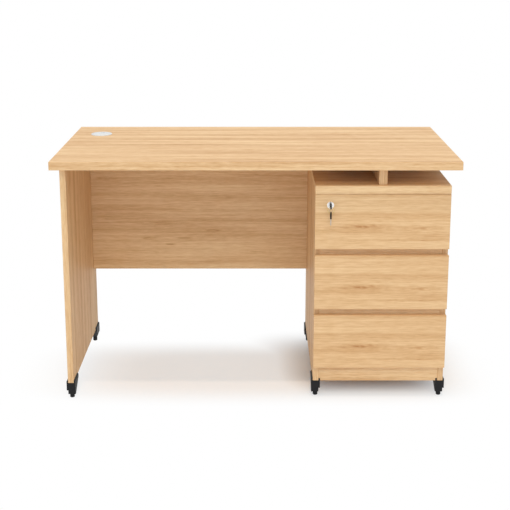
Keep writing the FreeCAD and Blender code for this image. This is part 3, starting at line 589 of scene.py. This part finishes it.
# %% [markdown]
# Cam fittings draw the modesty panel against the leg panel, the pedestal and the desktop.
# Each is a die-cast disc, let into the panel's rear face and turned with a cross-point driver, that
# grips the ball of a steel bolt screwed into the other board. Only the discs show, from behind.

# %% Cam fittings
CAM_DIAMETER, CAM_SETBACK, CAM_INSET = 14.6, 34.0, 60.0
TOP_SHARES = (0.25, 0.75)
panel_low, panel_high = (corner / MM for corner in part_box("modesty_panel"))
fitting_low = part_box("cam_fittings")[0] / MM
desk_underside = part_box("desktop")[0].z / MM
shelf_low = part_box("pedestal_top")[0].z / MM
bolt_y = (panel_low.y + panel_high.y) / 2
disc_seats, bolt_seats = [], []
for z in (panel_low.z + CAM_INSET, shelf_low - CAM_INSET):
    disc_seats.append(((panel_low.x + CAM_SETBACK, fitting_low.y, z), REAR))
    disc_seats.append(((panel_high.x - CAM_SETBACK, fitting_low.y, z), REAR))
    bolt_seats.append(((panel_low.x - BOLT_ANCHOR, bolt_y, z), RIGHT))
    bolt_seats.append(((panel_high.x + BOLT_ANCHOR, bolt_y, z), LEFT))
for share in TOP_SHARES:
    x = panel_low.x + share * (panel_high.x - panel_low.x)
    disc_seats.append(((x, fitting_low.y, desk_underside - CAM_SETBACK), REAR))
    bolt_seats.append(((x, bolt_y, desk_underside + BOLT_ANCHOR), DOWN))
zinc = FINISHES["zinc_steel"]
cam_discs = seated("cam_discs", "carcass", cam_disc, CAM_DIAMETER, disc_seats, zinc)
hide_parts("cam_fittings")
seated("cam_bolts", "carcass", cam_bolt, BOLT_DIAMETER, bolt_seats, zinc)

# %% [markdown]
# Three pan-head screws fix the inner member of each runner to its drawer side.
# They show when a drawer is pulled out. Four soft buffers on the back of every drawer front
# take the knock when it closes, and four screws hold the lock case behind the top front.

# %% Screws and buffers on the drawers
SCREW_DIAMETER, BUFFER_DIAMETER = 6.4, 8.0
SCREW_SHARES = (0.08, 0.52, 0.91)
BUFFER_INSET, BUFFER_RISE = 9.0, 12.0
CASE_SCREW_DIAMETER, CASE_EAR, CASE_SCREW_INSET = 5.6, 7.5, 6.5
# The runners and the lock case are pressed from sheet of this thickness
SHEET = 1.5
# Clear soft PVC: milky, a little glossy
soft_pvc = hard_finish(
    "clear_soft_pvc", ("#DFE2E0", "#ECEEEC"),
    cell=(2.0, 2.0, 2.0), roughness=(0.22, 0.34), bump=0.02,
)
for drawer in DRAWERS:
    low, high = (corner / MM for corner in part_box("runner_drawer_%d" % drawer))
    box_low, box_high = (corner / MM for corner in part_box("drawer_sides_%d" % drawer))
    middle = (low.z + high.z) / 2
    seats = []
    for share in SCREW_SHARES:
        y = low.y + share * (high.y - low.y)
        seats.append(((box_low.x - SHEET, y, middle), LEFT))
        seats.append(((box_high.x + SHEET, y, middle), RIGHT))
    body = "drawer_%d" % drawer
    seated("runner_screws_%d" % drawer, body, screw_head, SCREW_DIAMETER, seats, zinc)
    low, high = (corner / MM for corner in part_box("drawer_front_%d" % drawer))
    seats = []
    for x in (low.x + BUFFER_INSET, high.x - BUFFER_INSET):
        for z in (low.z + BUFFER_RISE, high.z - BUFFER_RISE):
            seats.append(((x, high.y, z), REAR))
    seated("front_buffers_%d" % drawer, body, buffer, BUFFER_DIAMETER, seats, soft_pvc)

low, high = (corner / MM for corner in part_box("lock_case"))
seats = []
for x in (low.x + CASE_EAR / 2, high.x - CASE_EAR / 2):
    for z in (low.z + CASE_SCREW_INSET, high.z - CASE_SCREW_INSET):
        seats.append(((x, low.y + SHEET, z), REAR))
seated("lock_case_screws", "drawer_1", screw_head, CASE_SCREW_DIAMETER, seats, zinc)
for piece in patterns:
    bpy.data.objects.remove(piece)

# %% [markdown]
# The keys hang on a split ring: two turns of brass wire, wound side by side.
# It follows a path, so Geometry Nodes sweep a small circle along a spiral and stand the spiral
# upright. It takes the place of the plain ring of the solid model.

# %% Split ring
RING_TURNS, RING_STEPS = 2, 56
# Each turn is this share of the plain ring's thickness
WIRE_SHARE, WIRE_SIDES = 0.5, 12
ring_tree, ring_keys, given = new_tree(
    "split_ring",
    (
        ("Nothing", "NodeSocketGeometry"),
        ("Radius", "NodeSocketFloat"),
        ("Wire", "NodeSocketFloat"),
        ("Centre", "NodeSocketVector"),
        ("Finish", "NodeSocketMaterial"),
    ),
)
spiral = add(
    ring_tree,
    "GeometryNodeCurveSpiral",
    {
        "Resolution": RING_STEPS,
        "Rotations": RING_TURNS,
        "Start Radius": given["Radius"],
        "End Radius": given["Radius"],
        "Height": given["Wire"],
    },
)
section = {"Resolution": WIRE_SIDES, "Radius": number(ring_tree, "MULTIPLY", given["Wire"], WIRE_SHARE / 2)}
section = add(ring_tree, "GeometryNodeCurvePrimitiveCircle", section)
swept = {"Curve": spiral.outputs[0], "Profile Curve": section.outputs[0], "Fill Caps": True}
swept = add(ring_tree, "GeometryNodeCurveToMesh", swept)
down = add(ring_tree, "ShaderNodeCombineXYZ", {2: number(ring_tree, "MULTIPLY", given["Wire"], -0.5)})
centred = {"Geometry": swept.outputs[0], "Translation": down.outputs[0]}
centred = add(ring_tree, "GeometryNodeTransform", centred)
upright = {
    "Geometry": centred.outputs[0],
    "Translation": given["Centre"],
    "Rotation": (math.radians(90), 0, 0),
}
upright = add(ring_tree, "GeometryNodeTransform", upright)
smooth = add(ring_tree, "GeometryNodeSetShadeSmooth", {"Geometry": upright.outputs[0]})
finish_tree(ring_tree, smooth, given["Finish"])

ring_low, ring_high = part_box("key_ring")
ring_wire = ring_high.y - ring_low.y
values = {
    ring_keys["Radius"]: (ring_high.x - ring_low.x - ring_wire) / 2,
    ring_keys["Wire"]: ring_wire,
    ring_keys["Centre"]: list((ring_low + ring_high) / 2),
    ring_keys["Finish"]: FINISHES["brass_wire"],
}
split_ring = plain_piece("split_ring", bpy.data.meshes.new("split_ring"), ring_tree, values)
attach(split_ring, "key")
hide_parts("key_ring")
print("split ring", len(split_ring.data.polygons), "faces")

# %% [markdown]
# A solid model has no studio. The floor is a wide pale sheet that catches a soft shadow.
# Where the camera, a reflection or a clear piece looks at it, part of its brightness is its own: a
# painted glow, white light that no lamp gives. The glow would wash the floor's real shadow out, so it
# is held back in two rounded patches, one under the knee space and one under the pedestal, where the
# cast shadow shows, and grows outwards from them. So the sheet runs into a white background without
# extra light on the desk. The world behind it is white in the same way.

# %% Floor and world
FLOOR_HALF, FLOOR_COLOUR, WHITE = 14.0, "#F6F4F2", "#FFFFFF"
AMBIENT, AMBIENT_COLOUR = 0.67, "#E2F0FF"


def camera_sees(tree):
    """One where a ray comes from the camera, a reflection or a clear piece, else zero."""
    path = add(tree, "ShaderNodeLightPath").outputs
    seen = path["Is Camera Ray"]
    for kind in ("Is Glossy Ray", "Is Transmission Ray"):
        seen = number(tree, "MAXIMUM", seen, path[kind])
    return seen


def glow_patch_share(tree, middle, reach, near, start, end):
    """A share of the floor's painted glow: near inside a rounded patch of the floor, growing to one outside
    it.
    """
    place = add(tree, "ShaderNodeTexCoord").outputs["Object"]
    way = vector(tree, "SUBTRACT", place, middle)
    way = vector(tree, "MULTIPLY", way, (1 / reach[0], 1 / reach[1], 0))
    square = vector(tree, "LENGTH", vector(tree, "MULTIPLY", way, way))
    return remap(tree, number(tree, "SQRT", square), (start, end), (near, 1.0), smooth=True)


bpy.ops.mesh.primitive_plane_add(size=2 * FLOOR_HALF, location=(0, 0, 0))
floor = bpy.context.object
floor.name = "studio_floor"
material, tree = new_material("pale_studio_floor")
# Painted glow on the floor, held back under the knee space and the pedestal so the cast shadow shows there
knee_glow_share = glow_patch_share(
    tree, middle=(0.0, -0.05, 0.0), reach=(0.74, 0.26), near=0.43, start=0.45, end=1.10
)
pedestal_glow_share = glow_patch_share(
    tree, middle=(0.34, 0.0, 0.0), reach=(0.313, 0.25), near=0.0, start=0.45, end=1.35
)
share = number(tree, "MINIMUM", knee_glow_share, pedestal_glow_share)
# own is the floor's painted glow, seen only by camera, reflection and clear rays
own = number(tree, "MULTIPLY", camera_sees(tree), share)
sheet = add(tree, "ShaderNodeBsdfDiffuse", {"Color": linear(FLOOR_COLOUR)})
glow = add(tree, "ShaderNodeEmission", {"Color": linear(WHITE), "Strength": 1.0})
mixed = add(tree, "ShaderNodeMixShader", {0: own, 1: sheet.outputs[0], 2: glow.outputs[0]})
finish_material(tree, mixed)
floor.data.materials.append(material)

world = bpy.data.worlds.new("studio_world")
bpy.context.scene.world = world
world.use_nodes = True
tree = world.node_tree
tree.nodes.clear()
soft = add(tree, "ShaderNodeBackground", {"Color": linear(AMBIENT_COLOUR), "Strength": AMBIENT})
white = add(tree, "ShaderNodeBackground", {"Color": linear(WHITE), "Strength": 1.0})
mixed = {0: camera_sees(tree), 1: soft.outputs[0], 2: white.outputs[0]}
mixed = add(tree, "ShaderNodeMixShader", mixed)
add(tree, "ShaderNodeOutputWorld", {"Surface": mixed.outputs[0]})
print("floor", 2 * FLOOR_HALF, "m wide, ambient", AMBIENT)

# %% [markdown]
# Three soft boxes light the desk: a large warm one high in front for the top and the drawer fronts,
# a weak cool one low in front that reaches under the desktop, and a small warm one overhead.
# A weak lamp that stands for a far spot draws the crisp front edge of the shadow between the legs.
# Their power is set so that a colour renders about as written.

# %% Lamps


def aim(lamp, place, target):
    holder = bpy.data.objects.new(lamp.name, lamp)
    bpy.context.scene.collection.objects.link(holder)
    way = Vector(target) - Vector(place)
    holder.matrix_world = Matrix.Translation(place) @ way.to_track_quat("-Z", "Y").to_matrix().to_4x4()
    print(lamp.name, round(way.length, 2), "m away")


def soft_box(name, place, target, size, power, colour):
    lamp = bpy.data.lights.new(name, "AREA")
    lamp.color = linear(colour)[:3]
    lamp.shape = "RECTANGLE"
    lamp.size, lamp.size_y = size
    lamp.energy = power
    aim(lamp, place, target)


soft_box(
    "front_soft_box",
    place=(0.4, -6.1, 6.4), target=(0, 0, 0.4), size=(5.0, 4.0), power=207, colour="#FFF0CF",
)
soft_box(
    "low_soft_box",
    place=(0.0, -5.5, 1.6), target=(0, 0, 0.5), size=(4.0, 2.0), power=36, colour="#D9E6FF",
)
soft_box(
    "overhead_soft_box",
    place=(0.0, 0.05, 3.4), target=(0, 0, 0.5), size=(2.4, 1.8), power=14.5, colour="#FFF0DC",
)
far_spot = bpy.data.lights.new("far_spot", "SUN")
far_spot.energy = 0.62
far_spot.color = linear("#FFE6CC")[:3]
far_spot.angle = math.radians(2.0)
aim(far_spot, place=(0.0, -0.92, 4.0), target=(0, 0, 0))

# %% [markdown]
# The camera stands a little over three metres in front of the desk, just above head height of a
# sitter, and looks slightly down. Its place and lens come from fitting the desk's edges.

# %% Camera
CAMERA_PLACE, CAMERA_PITCH = (-2.5, -3296.3, 1369.1), 12.84
SENSOR_WIDTH, LENS, LENS_SHIFT = 36.0, 74.79, -0.14
FAR_CLIP = 100
bpy.context.scene.view_settings.view_transform = "Standard"
camera_data = bpy.data.cameras.new("camera")
camera = bpy.data.objects.new("camera", camera_data)
bpy.context.scene.collection.objects.link(camera)
bpy.context.scene.camera = camera
camera_data.sensor_width = SENSOR_WIDTH
camera_data.lens = LENS
camera_data.shift_y = LENS_SHIFT
camera_data.clip_end = FAR_CLIP
camera.location = metres(*CAMERA_PLACE)
camera.rotation_euler = (math.radians(90 - CAMERA_PITCH), 0, 0)
